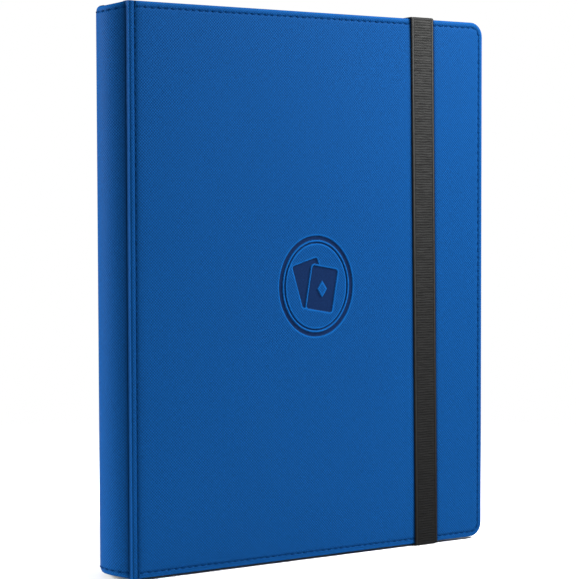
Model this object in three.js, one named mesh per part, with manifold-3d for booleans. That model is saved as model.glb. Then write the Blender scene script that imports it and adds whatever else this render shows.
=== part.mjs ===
// Trading card binder: two padded covers, a rounded spine, bound nine-pocket leaves and an elastic band.
//
// Millimetres, +Z up. The closed binder stands on its bottom edge. The spine faces -X, the fore-edge
// +X, the front cover -Y and the back cover +Y. The origin is under the middle of the whole object.
// Pieces are drawn in book coordinates: x from the hinge crease towards the fore-edge, y from the
// middle of the book towards the back, z from the covers' bottom edge. One group carries them all.
import * as THREE from 'three';
import { mergeVertices } from 'three/addons/utils/BufferGeometryUtils.js';
import Module from 'manifold-3d';

const wasm = await Module();
wasm.setup();

// ---------------------------------------------------------------- driving dimensions

const COVER_HEIGHT = 335;      // bottom edge to top edge of a cover
const COVER_WIDTH = 258.5;     // hinge crease to fore-edge
const BOOK_DEPTH = 39;         // outer face of one cover to outer face of the other
const CORNER_R = 9;            // fore-edge corners of the covers
const EDGE_ROUND = 1.2;        // softness of the covers' edges

const SKIN = 0.8;              // leather skin
const FOAM = 1.2;              // padding under the skin
const BOARD = 1.8;             // stiff board
const LINING = 0.5;            // inner lining
const LAYER_GAP = 0.1;         // clearance between two layers of a cover
const SIDE_GAP = 0.4;          // clearance between a layer's edge and the turned-in skin
const COVER_THICKNESS = SKIN + FOAM + BOARD + LINING + 3 * LAYER_GAP;
const OVERRUN = 1;             // how far a cutting shape runs past the face it cuts

const HINGE_START = 0.55;      // where the flexible hinge strip leaves the spine
const HINGE_END = 4.2;         // where it meets the padded cover
const COVER_START = 4.5;       // first edge of the padded cover
const CREASE_DEPTH = 3.4;      // crease beside the spine, below the cover's face
const RIDGE_DEPTH = 0.3;       // top of the hinge's ridge
const GROOVE_DEPTH = 1.9;      // stitched groove beside the padded cover

const SPINE_END_X = -0.2;      // end of the spine's arc, beside the hinge crease
const SPINE_END_DEPTH = 3.5;   // depth of that end behind the cover's outer face
const SPINE_BULGE = 8.5;       // the spine's crown, in front of the hinge crease
const SPINE_BOARD = 2;         // thickness of the curved board

const LEAF_COUNT = 20;
const LEAF_PITCH = 1.45;
const LEAF_ROOT_X = 8;         // fold line of every leaf
const LEAF_WIDTH = 234;
const LEAF_HEIGHT = 304;
const LEAF_SHEET = 0.25;       // backing sheet, also the thin tab at the fold line
const LEAF_TAB = 10;           // bare tab between the fold line and the first pocket
const LEAF_CORNER_R = 5;
const POCKETS_ACROSS = 3;
const POCKET_WIDTH = 71;
const POCKET_WELD = 2.75;      // welded seam beside each column of pockets
const POCKET_THICKNESS = 0.8;  // backing sheet with the films on both sides

const BINDING_GAP = 0.4;       // binding strip to the leaves' fold line

const STRAP_X = 211;           // middle of the elastic band
const STRAP_WIDTH = 17.5;
const STRAP_THICKNESS = 0.9;
const STRAP_GAP = 0.15;        // clearance between the band and the covers
const STRAP_TAIL = 29;         // length of band sewn into the back cover

// ---------------------------------------------------------------- worked-out places

const HALF_DEPTH = BOOK_DEPTH / 2;
const STRAP_PROUD = STRAP_THICKNESS + STRAP_GAP;
const LEAF_BOTTOM = (COVER_HEIGHT - LEAF_HEIGHT) / 2;
const SPINE_CHORD = HALF_DEPTH - SPINE_END_DEPTH;
const SPINE_SAGITTA = SPINE_BULGE + SPINE_END_X;
const SPINE_R = (SPINE_CHORD ** 2 + SPINE_SAGITTA ** 2) / (2 * SPINE_SAGITTA);
const SPINE_CENTRE_X = SPINE_R - SPINE_BULGE;
const SPINE_ANGLE = Math.asin(SPINE_CHORD / SPINE_R);

// y of each layer's outer face, counted on the back cover; the front cover mirrors it
const FOAM_FACE = HALF_DEPTH - SKIN - LAYER_GAP;
const BOARD_FACE = FOAM_FACE - FOAM - LAYER_GAP;
const LINING_FACE = BOARD_FACE - BOARD - LAYER_GAP;

// y of the band tails' inner face, in the back board
const TAIL_FACE = LINING_FACE + LAYER_GAP;

// ---------------------------------------------------------------- materials

const leather = () => new THREE.MeshStandardMaterial({ color: 0x1a5ba6, roughness: 0.55, metalness: 0 });
const lining = () => new THREE.MeshStandardMaterial({ color: 0x17181b, roughness: 0.8, metalness: 0 });
const foam = () => new THREE.MeshStandardMaterial({ color: 0xd9d7cf, roughness: 0.95, metalness: 0 });
const board = () => new THREE.MeshStandardMaterial({ color: 0x8f8675, roughness: 0.9, metalness: 0 });
const elastic = () => new THREE.MeshStandardMaterial({ color: 0x2b2c2e, roughness: 0.9, metalness: 0 });
const pocketSheet = () => new THREE.MeshStandardMaterial({ color: 0x121315, roughness: 0.4, metalness: 0 });
const binding = () => new THREE.MeshStandardMaterial({ color: 0x1b1c1f, roughness: 0.7, metalness: 0 });

// ---------------------------------------------------------------- solids and cuts

// A closed geometry as a solid that can be joined and cut.
function solid(geometry) {
  const bare = geometry.clone();
  bare.deleteAttribute('normal');
  bare.deleteAttribute('uv');
  const merged = mergeVertices(bare, 1e-5);
  return new wasm.Manifold(new wasm.Mesh({
    numProp: 3,
    vertProperties: new Float32Array(merged.attributes.position.array),
    triVerts: new Uint32Array(merged.index.array),
  }));
}

// A solid back as a geometry.
function geometryOf(shape) {
  const mesh = shape.getMesh();
  const geometry = new THREE.BufferGeometry();
  geometry.setAttribute('position', new THREE.BufferAttribute(new Float32Array(mesh.vertProperties), 3));
  geometry.setIndex(new THREE.BufferAttribute(new Uint32Array(mesh.triVerts), 1));
  const flat = geometry.toNonIndexed();
  flat.computeVertexNormals();
  return flat;
}

// A box from its lowest to its highest corner.
function box(low, high) {
  const geometry = new THREE.BoxGeometry(high[0] - low[0], high[1] - low[1], high[2] - low[2]);
  geometry.translate((low[0] + high[0]) / 2, (low[1] + high[1]) / 2, (low[2] + high[2]) / 2);
  return geometry;
}

// An upright sheet outline in x and z, square at the spine side and rounded at the fore-edge.
function sheetOutline(x0, x1, z0, z1, radius) {
  const outline = new THREE.Shape();
  outline.moveTo(x0, z0);
  outline.lineTo(x1 - radius, z0);
  outline.absarc(x1 - radius, z0 + radius, radius, -Math.PI / 2, 0, false);
  outline.absarc(x1 - radius, z1 - radius, radius, 0, Math.PI / 2, false);
  outline.lineTo(x0, z1);
  outline.closePath();
  return outline;
}

// That outline as a sheet between two y values, with its edges rounded by the given amount.
function sheet(x0, x1, z0, z1, radius, y0, y1, round = 0) {
  const outline = sheetOutline(x0 + round, x1 - round, z0 + round, z1 - round, radius - round);
  const geometry = new THREE.ExtrudeGeometry(outline, {
    depth: y1 - y0 - 2 * round,
    curveSegments: 6,
    bevelEnabled: round > 0,
    bevelThickness: round,
    bevelSize: round,
    bevelSegments: 3,
  });
  geometry.rotateX(Math.PI / 2);
  geometry.translate(0, y1 - round, 0);
  return geometry;
}

// A profile in x and y, carried up the whole height of the covers.
function upright(profile, z0, z1) {
  const depth = z1 - z0;
  const geometry = new THREE.ExtrudeGeometry(profile, { depth, curveSegments: 12, bevelEnabled: false });
  geometry.translate(0, 0, z0);
  return geometry;
}

function node(name, geometry, material) {
  const mesh = new THREE.Mesh(geometry, material);
  mesh.name = name;
  return mesh;
}

// A geometry drawn for the back cover, turned over to the front: y changes sign.
function mirrored(geometry) {
  return geometryOf(solid(geometry).mirror([0, 1, 0]));
}

// ---------------------------------------------------------------- covers

// The skin is a shallow tray that wraps the outer face and all the edges.
function coverSkin() {
  const outer = sheet(COVER_START, COVER_WIDTH, 0, COVER_HEIGHT, CORNER_R,
    HALF_DEPTH - COVER_THICKNESS, HALF_DEPTH, EDGE_ROUND);
  const inside = sheet(COVER_START + SKIN, COVER_WIDTH - SKIN, SKIN, COVER_HEIGHT - SKIN, CORNER_R - SKIN,
    LINING_FACE - LINING - OVERRUN, HALF_DEPTH - SKIN);
  return solid(outer).subtract(solid(inside));
}

// One layer inside the skin, thickness counted inwards from its outer face.
function coverLayer(outerFace, thickness) {
  const inset = SKIN + SIDE_GAP;
  return sheet(COVER_START + inset, COVER_WIDTH - inset, inset, COVER_HEIGHT - inset, CORNER_R - inset,
    outerFace - thickness, outerFace);
}

// The space that a band tail takes in the back board and in the skin's turned edge.
function tailSlot(top) {
  const side = STRAP_WIDTH / 2 + SIDE_GAP;
  const depth = STRAP_TAIL + 2 * SIDE_GAP;
  const z0 = top ? COVER_HEIGHT - depth : -OVERRUN;
  const z1 = top ? COVER_HEIGHT + OVERRUN : depth;
  return solid(box(
    [STRAP_X - side, LINING_FACE - LAYER_GAP / 2, z0],
    [STRAP_X + side, TAIL_FACE + STRAP_THICKNESS + 2 * LAYER_GAP, z1],
  ));
}

function coverPieces(side) {
  const front = side === 'front';
  const place = (geometry) => (front ? mirrored(geometry) : geometry);
  const skin = coverSkin();
  const stiff = solid(coverLayer(BOARD_FACE, BOARD));
  const cutSkin = front ? skin : skin.subtract(tailSlot(true)).subtract(tailSlot(false));
  const cutBoard = front ? stiff : stiff.subtract(tailSlot(true)).subtract(tailSlot(false));
  return [
    node(`${side}_cover_skin`, place(geometryOf(cutSkin)), leather()),
    node(`${side}_cover_padding`, place(coverLayer(FOAM_FACE, FOAM)), foam()),
    node(`${side}_cover_board`, place(geometryOf(cutBoard)), board()),
    node(`${side}_cover_lining`, place(coverLayer(LINING_FACE, LINING)), lining()),
    node(`${side}_hinge_strip`, place(hingeStrip()), leather()),
  ];
}

// The flexible strip between spine and cover, rolled into a soft ridge on the outside.
function hingeStrip() {
  const inner = HALF_DEPTH - COVER_THICKNESS + LAYER_GAP;
  const crown = HALF_DEPTH - RIDGE_DEPTH;
  const profile = new THREE.Shape();
  profile.moveTo(HINGE_START, inner);
  profile.lineTo(HINGE_END, inner);
  profile.lineTo(HINGE_END, HALF_DEPTH - GROOVE_DEPTH);
  profile.quadraticCurveTo(HINGE_END, crown, (HINGE_START + HINGE_END) / 2, crown);
  profile.quadraticCurveTo(HINGE_START, crown, HINGE_START, HALF_DEPTH - CREASE_DEPTH);
  profile.closePath();
  return upright(profile, 0, COVER_HEIGHT);
}

// ---------------------------------------------------------------- spine

// A curved strip of the spine between two radii.
function spineArc(outerR, thickness, angle) {
  const innerR = outerR - thickness;
  const profile = new THREE.Shape();
  profile.absarc(SPINE_CENTRE_X, 0, outerR, Math.PI - angle, Math.PI + angle, false);
  profile.absarc(SPINE_CENTRE_X, 0, innerR, Math.PI + angle, Math.PI - angle, true);
  profile.closePath();
  return profile;
}

// The strip that grips the roots of all the leaves: curved behind, flat in front.
function bindingStrip(outerR) {
  const half = (LEAF_COUNT / 2) * LEAF_PITCH - BINDING_GAP;
  const angle = Math.asin(half / outerR);
  const face = LEAF_ROOT_X - BINDING_GAP;
  const profile = new THREE.Shape();
  profile.absarc(SPINE_CENTRE_X, 0, outerR, Math.PI - angle, Math.PI + angle, false);
  profile.lineTo(face, -half);
  profile.lineTo(face, half);
  profile.closePath();
  return upright(profile, LEAF_BOTTOM, COVER_HEIGHT - LEAF_BOTTOM);
}

function spinePieces() {
  const boardR = SPINE_R - SKIN - LAYER_GAP;
  const boardAngle = Math.asin((HALF_DEPTH - COVER_THICKNESS - 2 * SIDE_GAP) / boardR);
  const liningR = boardR - SPINE_BOARD - LAYER_GAP;
  const bindingR = liningR - LINING - LAYER_GAP;
  const strip = (radius, thickness, angle, inset) => upright(
    spineArc(radius, thickness, angle),
    inset,
    COVER_HEIGHT - inset,
  );
  return [
    node('spine_skin', strip(SPINE_R, SKIN, SPINE_ANGLE, 0), leather()),
    node('spine_board', strip(boardR, SPINE_BOARD, boardAngle, SKIN), board()),
    node('spine_lining', strip(liningR, LINING, boardAngle, SKIN), lining()),
    node('leaf_binding_strip', bindingStrip(bindingR), binding()),
  ];
}

// ---------------------------------------------------------------- leaves

// A backing sheet with its columns of pockets standing proud on both faces.
function leafGeometry() {
  const top = LEAF_BOTTOM + LEAF_HEIGHT;
  let leaf = solid(sheet(0, LEAF_WIDTH, LEAF_BOTTOM, top, LEAF_CORNER_R, -LEAF_SHEET / 2, LEAF_SHEET / 2));
  for (let column = 0; column < POCKETS_ACROSS; column += 1) {
    const x0 = LEAF_TAB + POCKET_WELD / 2 + column * (POCKET_WIDTH + POCKET_WELD);
    leaf = leaf.add(solid(box(
      [x0, -POCKET_THICKNESS / 2, LEAF_BOTTOM + POCKET_WELD],
      [x0 + POCKET_WIDTH, POCKET_THICKNESS / 2, top - POCKET_WELD],
    )));
  }
  return geometryOf(leaf);
}

function leafPieces() {
  const geometry = leafGeometry();
  const leaves = [];
  for (let i = 0; i < LEAF_COUNT; i += 1) {
    const leaf = node(`leaf_${String(i + 1).padStart(2, '0')}`, geometry, pocketSheet());
    leaf.position.set(LEAF_ROOT_X, (i - (LEAF_COUNT - 1) / 2) * LEAF_PITCH, 0);
    leaves.push(leaf);
  }
  return leaves;
}

// ---------------------------------------------------------------- elastic band

// One loop of band: down the front cover, over both edges and into the back cover's seams.
function strapPieces() {
  const x0 = STRAP_X - STRAP_WIDTH / 2;
  const x1 = STRAP_X + STRAP_WIDTH / 2;
  const outside = -HALF_DEPTH - STRAP_PROUD;
  const runEnd = TAIL_FACE + STRAP_THICKNESS + 3 * LAYER_GAP;
  const low = -STRAP_PROUD;
  const high = COVER_HEIGHT + STRAP_PROUD;
  const tailLow = 2 * LAYER_GAP;
  const tailHigh = COVER_HEIGHT - tailLow;
  const length = (name, y0, y1, z0, z1) => node(name, box([x0, y0, z0], [x1, y1, z1]), elastic());
  return [
    length('strap_front_run', outside, outside + STRAP_THICKNESS, low, high),
    length('strap_top_run', -HALF_DEPTH, runEnd, high - STRAP_THICKNESS, high),
    length('strap_bottom_run', -HALF_DEPTH, runEnd, low, low + STRAP_THICKNESS),
    length('strap_top_tail', TAIL_FACE, TAIL_FACE + STRAP_THICKNESS, tailHigh - STRAP_TAIL, tailHigh),
    length('strap_bottom_tail', TAIL_FACE, TAIL_FACE + STRAP_THICKNESS, tailLow, tailLow + STRAP_TAIL),
  ];
}

// ---------------------------------------------------------------- assembly

const binder = new THREE.Group();
binder.position.set(-(COVER_WIDTH - SPINE_BULGE) / 2, STRAP_PROUD / 2, STRAP_PROUD);
binder.add(...spinePieces());
binder.add(...coverPieces('front'));
binder.add(...coverPieces('back'));
binder.add(...leafPieces());
binder.add(...strapPieces());

export default binder;
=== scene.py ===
"""Finished pieces of a trading card binder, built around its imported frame.

The binder has two padded leather covers, a rounded spine, bound nine-pocket leaves and an elastic
band. Shapes are worked out in the book's own millimetres: x from the hinge crease towards the
fore-edge, y from the middle of the book towards the back, z up from the covers' bottom edge.
"""
import math

import bmesh
import bpy
import numpy as np
from bpy.props import FloatProperty, FloatVectorProperty, IntProperty, PointerProperty
from bpy.types import Operator, Panel, PropertyGroup
from mathutils import Matrix, Vector


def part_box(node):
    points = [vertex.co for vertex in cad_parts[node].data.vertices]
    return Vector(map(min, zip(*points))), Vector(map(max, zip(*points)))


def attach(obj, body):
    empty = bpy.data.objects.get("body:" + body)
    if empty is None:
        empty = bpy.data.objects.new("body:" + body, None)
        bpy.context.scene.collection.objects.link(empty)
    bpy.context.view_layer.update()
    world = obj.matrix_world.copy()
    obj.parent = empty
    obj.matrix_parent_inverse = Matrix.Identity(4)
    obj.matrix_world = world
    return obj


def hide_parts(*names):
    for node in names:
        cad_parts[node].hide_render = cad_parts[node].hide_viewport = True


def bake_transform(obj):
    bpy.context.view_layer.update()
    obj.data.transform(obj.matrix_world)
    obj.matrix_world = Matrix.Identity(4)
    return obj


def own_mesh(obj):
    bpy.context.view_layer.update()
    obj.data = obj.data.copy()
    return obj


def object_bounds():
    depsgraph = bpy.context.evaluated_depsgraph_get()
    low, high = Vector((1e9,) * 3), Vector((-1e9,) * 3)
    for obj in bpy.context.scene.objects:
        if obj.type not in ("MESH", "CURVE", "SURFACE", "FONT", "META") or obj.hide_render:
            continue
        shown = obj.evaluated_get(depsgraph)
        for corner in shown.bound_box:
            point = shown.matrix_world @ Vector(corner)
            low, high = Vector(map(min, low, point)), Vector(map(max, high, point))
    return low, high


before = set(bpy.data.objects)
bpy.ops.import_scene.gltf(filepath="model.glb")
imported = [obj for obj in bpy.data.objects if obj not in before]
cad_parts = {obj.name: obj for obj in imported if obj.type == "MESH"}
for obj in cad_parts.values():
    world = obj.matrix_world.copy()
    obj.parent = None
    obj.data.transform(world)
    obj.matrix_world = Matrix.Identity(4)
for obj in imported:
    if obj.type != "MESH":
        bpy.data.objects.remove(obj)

bl_info = {
    "name": "Trading Card Binder",
    "version": (1, 0, 0),
    "blender": (4, 5, 0),
    "location": "View3D > Sidebar > Binder",
    "description": "Builds the leather, cloth, stitching, band and leaves of a card binder",
    "category": "Object",
}

# ---------------------------------------------------------------- sizes taken from the frame

MM = 0.001
CAD_BOX = [list(corner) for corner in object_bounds()]

FRONT_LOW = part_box("front_cover_skin")[0]
BACK_LOW, BACK_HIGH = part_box("back_cover_skin")
SPINE_LOW, SPINE_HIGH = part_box("spine_skin")
BAND_LOW, BAND_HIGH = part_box("strap_front_run")
TAIL_LOW, TAIL_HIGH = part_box("strap_top_tail")

CREASE_TO_COVER = 4.5          # hinge crease to the padded cover's first edge
ORIGIN = np.array([BACK_LOW.x - CREASE_TO_COVER * MM, (FRONT_LOW.y + BACK_HIGH.y) / 2, BACK_LOW.z])


def book(point):
    """A place in the frame, in metres, as book millimetres."""
    return (np.array(point) - ORIGIN) / MM


def to_frame(points):
    """Book millimetres as places in the frame, in metres."""
    return np.asarray(points, float) * MM + ORIGIN


HEIGHT = book(BACK_HIGH)[2]    # of a cover
WIDTH = book(BACK_HIGH)[0]     # hinge crease to fore-edge
HALF = book(BACK_HIGH)[1]      # middle of the book to a cover's outer face
INSIDE = book(BACK_LOW)[1]     # middle of the book to a cover's inner face
CORNER = 9.0                   # radius of the fore-edge corners
MIDDLE = HEIGHT / 2

SPINE_CROWN = -book(SPINE_LOW)[0]
SPINE_END = (book(SPINE_HIGH)[0] - 0.45, book(SPINE_HIGH)[1])
SPINE_SAGITTA = SPINE_CROWN + SPINE_END[0]
SPINE_R = (SPINE_END[1] ** 2 + SPINE_SAGITTA ** 2) / (2 * SPINE_SAGITTA)
SPINE_X = SPINE_R - SPINE_CROWN
SPINE_ANGLE = math.asin(SPINE_END[1] / SPINE_R)
SPINE_CUT = (1.1, 2.0)         # how much lower and higher ends are cut back at the spine's crown
SPINE_POINTS = 57              # points across one face of a spine layer
SPINE_CURL = 1.9, 4.5          # how far the spine curves in at its ends, and over what length
BOARD_THICKNESS, SPINE_LINING_THICKNESS = 2.0, 0.5
LEATHER = 0.8                  # thickness of the leather

BAND_X = (book(BAND_LOW)[0] + book(BAND_HIGH)[0]) / 2
BAND_HALF_WIDTH = (book(BAND_HIGH)[0] - book(BAND_LOW)[0]) / 2
BAND_THICKNESS = book(BAND_HIGH)[1] - book(BAND_LOW)[1]
BAND_FACE = -book(BAND_LOW)[1]  # middle of the book to the band's outer face
BAND_TOP = book(BAND_HIGH)[2]
BAND_TAIL = book(TAIL_LOW)[1], book(TAIL_HIGH)[1]
BAND_TAIL_LENGTH = (TAIL_HIGH.z - TAIL_LOW.z) / MM

LEAVES = sorted(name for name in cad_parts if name.startswith("leaf_") and name[5:].isdigit())

BAND_LEAN = (1.65, -2.05)      # how far askew the band sits at the bottom and the top of the front

BADGE_X, BADGE_Z = 128.5, MIDDLE
BADGE_HALF = (27.0, 31.0)      # half the badge's width and height

STITCH_START = 7.2             # first stitch of a cover's border, past the hinge groove
GROOVE_X = CREASE_TO_COVER     # stitched groove beside the hinge
GROOVE_DEPTH = 1.15
PANEL_START = 5.3              # first edge of the padded panel's own leather
BACK_PUFF = 0.3                # the back cover's share of the puff, so that it clears the band
LINING_START = 5.75            # first edge of the lining cloth
LINING_INSET = 1.25            # leather lip beside the lining

GRAIN = "grain"                # name of the flat cut's coordinates
# Shapes are drawn for the back of the book; the front's are turned over.
FACING = {"front": np.array([1.0, -1.0, 1.0]), "back": np.array([1.0, 1.0, 1.0])}


# ---------------------------------------------------------------- what a user would change

def metres(name, description, default):
    return FloatProperty(name=name, description=description, default=default, unit="LENGTH",
                         subtype="DISTANCE", precision=5)


def angle(name, description, degrees):
    return FloatProperty(name=name, description=description, default=math.radians(degrees),
                         subtype="ANGLE")


def power(name, description, watts):
    return FloatProperty(name=name, description=description, default=watts, subtype="POWER",
                         unit="POWER")


def colour(name, description, default):
    return FloatVectorProperty(name=name, description=description, default=default, size=3,
                               subtype="COLOR", min=0.0, max=1.0)


class BinderSizes(PropertyGroup):
    """Sizes of the binder's seams, grain and band."""

    stitch_pitch: metres("Stitch pitch", "Distance from one stitch to the next", 0.0045)
    stitch_length: metres("Stitch length", "Length of thread that shows in one stitch", 0.0030)
    stitch_width: metres("Thread width", "Width of the sewing thread", 0.00138)
    stitch_inset: metres("Stitch inset", "Distance of the border seam from the edge", 0.0035)
    seam_depth: metres("Seam depth", "How far a seam pulls the leather in", 0.00042)
    panel_puff: metres("Panel puff", "How far the padding lifts the middle of a cover", 0.0004)
    badge_depth: metres("Badge depth", "How far the badge is pressed into the cover", 0.0008)
    grain_pitch: metres("Grain pitch", "Width of one thread of the leather's woven grain", 0.0009)
    rib_pitch: metres("Rib pitch", "Distance from one rib of the band to the next", 0.0016)
    rib_height: metres("Rib height", "Height of the band's ribs", 0.00016)
    seed: IntProperty(name="Seed", description="Seed of the small irregularities", default=7)


class BinderColours(PropertyGroup):
    """Colours of the binder's finishes."""

    leather: colour("Leather", "Blue of the covers and the spine", (0.0023, 0.0350, 0.127))
    # lighter leather for worn rolled edges, also used as painted highlights along the badge's lines and the
    # hinge lip
    worn_and_highlit: colour("Worn leather", "Leather on rolled edges", (0.003, 0.068, 0.24))
    badge: colour("Badge", "Foil pressed into the front cover", (0.0035, 0.012, 0.044))
    thread: colour("Thread", "Sewing thread", (0.0005, 0.016, 0.066))
    lining: colour("Lining", "Cloth inside the covers", (0.012, 0.013, 0.016))
    foam: colour("Foam", "Padding under the leather", (0.62, 0.60, 0.54))
    board: colour("Board", "Stiff boards", (0.27, 0.235, 0.18))
    binding: colour("Binding", "Strip that grips the leaves", (0.013, 0.013, 0.015))
    sheet: colour("Leaf sheet", "Backing sheet of a leaf", (0.010, 0.010, 0.012))
    elastic: colour("Elastic", "Elastic band", (0.0112, 0.0113, 0.0110))


class BinderStage(PropertyGroup):
    """Camera, floor and lights."""

    azimuth: angle("Azimuth", "Camera angle round the binder", -32.55)
    elevation: angle("Elevation", "Camera angle above the horizon", 2.69)
    roll: angle("Roll", "Camera tilt about its own axis", -0.15)
    distance: metres("Distance", "From the camera to the point it looks at", 1.1237)
    lens: FloatProperty(name="Lens", description="Focal length on a 36 mm sensor", default=112.1,
                        subtype="DISTANCE_CAMERA")
    aim: FloatVectorProperty(name="Aim", description="Looked-at point from the middle of the frame",
                             default=(-0.0022, 0.0026, -0.0027), size=3, subtype="TRANSLATION")
    floor: colour("Floor", "Pale studio floor", (0.8, 0.8, 0.8))
    fill: FloatProperty(name="Fill", description="Strength of the surrounding light", default=0.25)
    key: power("Key", "Power of the main light", 17.8)
    top: power("Top", "Power of the overhead light", 13.0)
    rim: power("Rim", "Power of the light beside the spine", 54.0)
    side: power("Side", "Power of the soft light facing the spine", 17.0)


# ---------------------------------------------------------------- node graphs as expressions

class Socket:
    """An output socket that adds a Math node when it is used in a sum."""

    def __init__(self, graph, socket):
        self.graph = graph
        self.socket = socket

    def math(self, operation, *others):
        values = dict(enumerate([self, *others]))
        return self.graph.add("ShaderNodeMath", {"operation": operation}, values)

    def __add__(self, other):
        return self.math("ADD", other)

    __radd__ = __add__

    def __sub__(self, other):
        return self.math("SUBTRACT", other)

    def __rsub__(self, other):
        return self.graph.add("ShaderNodeMath", {"operation": "SUBTRACT"}, {0: other, 1: self})

    def __mul__(self, other):
        return self.math("MULTIPLY", other)

    __rmul__ = __mul__

    def __truediv__(self, other):
        return self.math("DIVIDE", other)

    def __abs__(self):
        return self.math("ABSOLUTE")

    def clamped(self):
        return self.graph.add("ShaderNodeClamp", {}, {"Value": self})


class Graph:
    """A node tree that is built by adding nodes and reading their outputs."""

    def __init__(self, tree):
        self.tree = tree
        tree.nodes.clear()

    def add(self, kind, settings=None, inputs=None, output=0):
        """One node: its settings, then the values or links of its inputs. Returns an output."""
        node = self.tree.nodes.new(kind)
        for key, value in (settings or {}).items():
            setattr(node, key, value)
        by_identifier = {socket.identifier: socket for socket in node.inputs}
        for key, value in (inputs or {}).items():
            target = node.inputs[key] if isinstance(key, int) else by_identifier[key]
            if isinstance(value, Socket):
                self.tree.links.new(value.socket, target)
            else:
                target.default_value = value
        if not node.outputs:
            return node
        if isinstance(output, str):
            output = [socket.identifier for socket in node.outputs].index(output)
        return Socket(self, node.outputs[output])

    def mix(self, factor, first, second):
        """Two colours mixed. Each is a link or three numbers."""
        ends = {"A_Color": first, "B_Color": second}
        inputs = {key: end if isinstance(end, Socket) else (*end, 1.0) for key, end in ends.items()}
        settings = {"data_type": "RGBA", "clamp_factor": True}
        return self.add("ShaderNodeMix", settings, {"Factor_Float": factor, **inputs}, "Result_Color")

    def shades(self, factor, colour, dark, light):
        """A colour that runs from its darker to its lighter shade."""
        return self.mix(factor, shade(colour, dark), shade(colour, light))

    def noise(self, vector, scale, detail=2.0, roughness=0.5):
        inputs = {"Vector": vector, "Scale": scale, "Detail": detail, "Roughness": roughness}
        return self.add("ShaderNodeTexNoise", {}, inputs)

    def stretched(self, vector, factors, detail, roughness=0.5):
        """Noise with its own scale along each axis."""
        return self.noise(self.scaled(vector, factors), 1.0, detail, roughness)

    def scaled(self, vector, factors):
        return self.add("ShaderNodeVectorMath", {"operation": "MULTIPLY"}, {0: vector, 1: factors})

    def attribute(self, name):
        return self.add("ShaderNodeAttribute", {"attribute_name": name}, {}, "Fac")

    def place(self):
        """The surface's place in the frame."""
        return self.add("ShaderNodeTexCoord", {}, {}, "Object")

    def plan(self):
        """The surface's place in its flat cut, in metres."""
        return self.add("ShaderNodeUVMap", {"uv_map": GRAIN})

    def parts(self, vector):
        """The x, y and z of a vector."""
        node = self.add("ShaderNodeSeparateXYZ", {}, {0: vector}).socket.node
        return [Socket(self, socket) for socket in node.outputs]

    def surface(self, base, roughness, height=None, bump=(0.5, 0.0001), constants=None):
        """Ends a material: its colour, its roughness and the height of its relief."""
        inputs = {"Base Color": base, "Roughness": roughness, **(constants or {})}
        if height is not None:
            inputs["Normal"] = self.add("ShaderNodeBump", {}, {
                "Strength": bump[0], "Distance": bump[1], "Height": height})
        shaded = self.add("ShaderNodeBsdfPrincipled", {}, inputs)
        self.add("ShaderNodeOutputMaterial", {}, {"Surface": shaded})


def shade(colour, factor):
    return tuple(part * factor for part in colour)


# ---------------------------------------------------------------- finishes

def finish(make, scene):
    """The material that one of the functions below fills in, made once and named after it."""
    material = bpy.data.materials.get(make.__name__)
    if material is None:
        material = bpy.data.materials.new(make.__name__)
        material.use_nodes = True
        make(Graph(material.node_tree), scene)
    return material


def woven_leather(graph, scene):
    """Blue leather with a fine woven grain, lighter worn rolled edges, painted highlights along the badge's
    lines and the hinge lip, painted shade in seams and creases, and dark pressed foil.
    """
    colours = scene.binder_colours
    plan = graph.plan()
    wander = graph.noise(plan, 70.0, 3.0) * 1.2
    u, v, _ = graph.parts(graph.scaled(plan, [math.pi / scene.binder_sizes.grain_pitch] * 3))
    weave = (u + wander).math("SINE") * (v + wander).math("SINE")
    weft = graph.stretched(plan, (330.0, 1900.0, 1.0), 1.0) - 0.5
    warp = graph.stretched(plan, (1900.0, 330.0, 1.0), 1.0) - 0.5
    patchy = 0.5 + graph.noise(plan, 70.0, 2.0)
    relief = 0.5 + (weave * 0.40 + weft * 0.42 + warp * 0.42) * patchy
    base = graph.shades(relief.clamped(), colours.leather, 0.40, 1.60)
    base = graph.mix(graph.noise(plan, 14.0, 3.0) * 0.30, base, shade(colours.leather, 0.82))
    # lighter leather: wear on the rolled edges, and painted highlights along the badge's lines and the
    # hinge lip
    wear_and_highlight = graph.attribute("wear_and_highlight") * (0.15 + 0.5 * graph.noise(plan, 240.0, 3.0))
    base = graph.mix(wear_and_highlight.clamped(), base, colours.worn_and_highlit)
    # painted shade: darker leather in seams, the hinge groove and crease, and beside and under the band
    base = graph.mix(graph.attribute("painted_shade") * 0.7, base, shade(colours.leather, 0.22))
    foil = graph.attribute("foil")
    base = graph.mix(foil, base, graph.shades(graph.noise(plan, 900.0, 2.0), colours.badge, 0.6, 1.4))
    roughness = 0.52 + 0.12 * relief - 0.08 * wear_and_highlight - 0.12 * foil
    graph.surface(base, roughness, relief * (1.0 - 0.75 * foil), (0.6, 0.00022), {"IOR": 1.062})


def sewing_thread(graph, scene):
    """Navy sewing thread, twisted, almost without a sheen."""
    twist = (graph.attribute("twist") * 9000.0).math("SINE") * 0.5 + 0.5
    fuzz = graph.noise(graph.place(), 4000.0, 2.0)
    base = graph.shades((0.7 * twist + 0.3 * fuzz).clamped(), scene.binder_colours.thread, 0.55, 1.7)
    graph.surface(base, 0.62 + 0.1 * fuzz, twist + fuzz * 0.4, constants={"Specular IOR Level": 0.01})


def lining_twill(graph, scene):
    """Black lining cloth with a fine twill weave."""
    lining = scene.binder_colours.lining
    x, y, z = graph.parts(graph.place())
    ribs = ((x + y + z) * 1500.0 * math.pi).math("SINE") * 0.5 + 0.5
    cross = ((x - z) * 700.0 * math.pi).math("SINE") * 0.5 + 0.5
    cloudy = graph.noise(graph.place(), 26.0, 3.0)
    base = graph.shades((ribs * 0.6 + cross * 0.4).clamped(), lining, 0.6, 1.8)
    base = graph.mix(cloudy * 0.4, base, shade(lining, 1.3))
    graph.surface(base, 0.78 + 0.12 * cloudy, ribs + cross * 0.5,
                  constants={"Specular IOR Level": 0.3, "Sheen Weight": 0.2})


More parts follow.
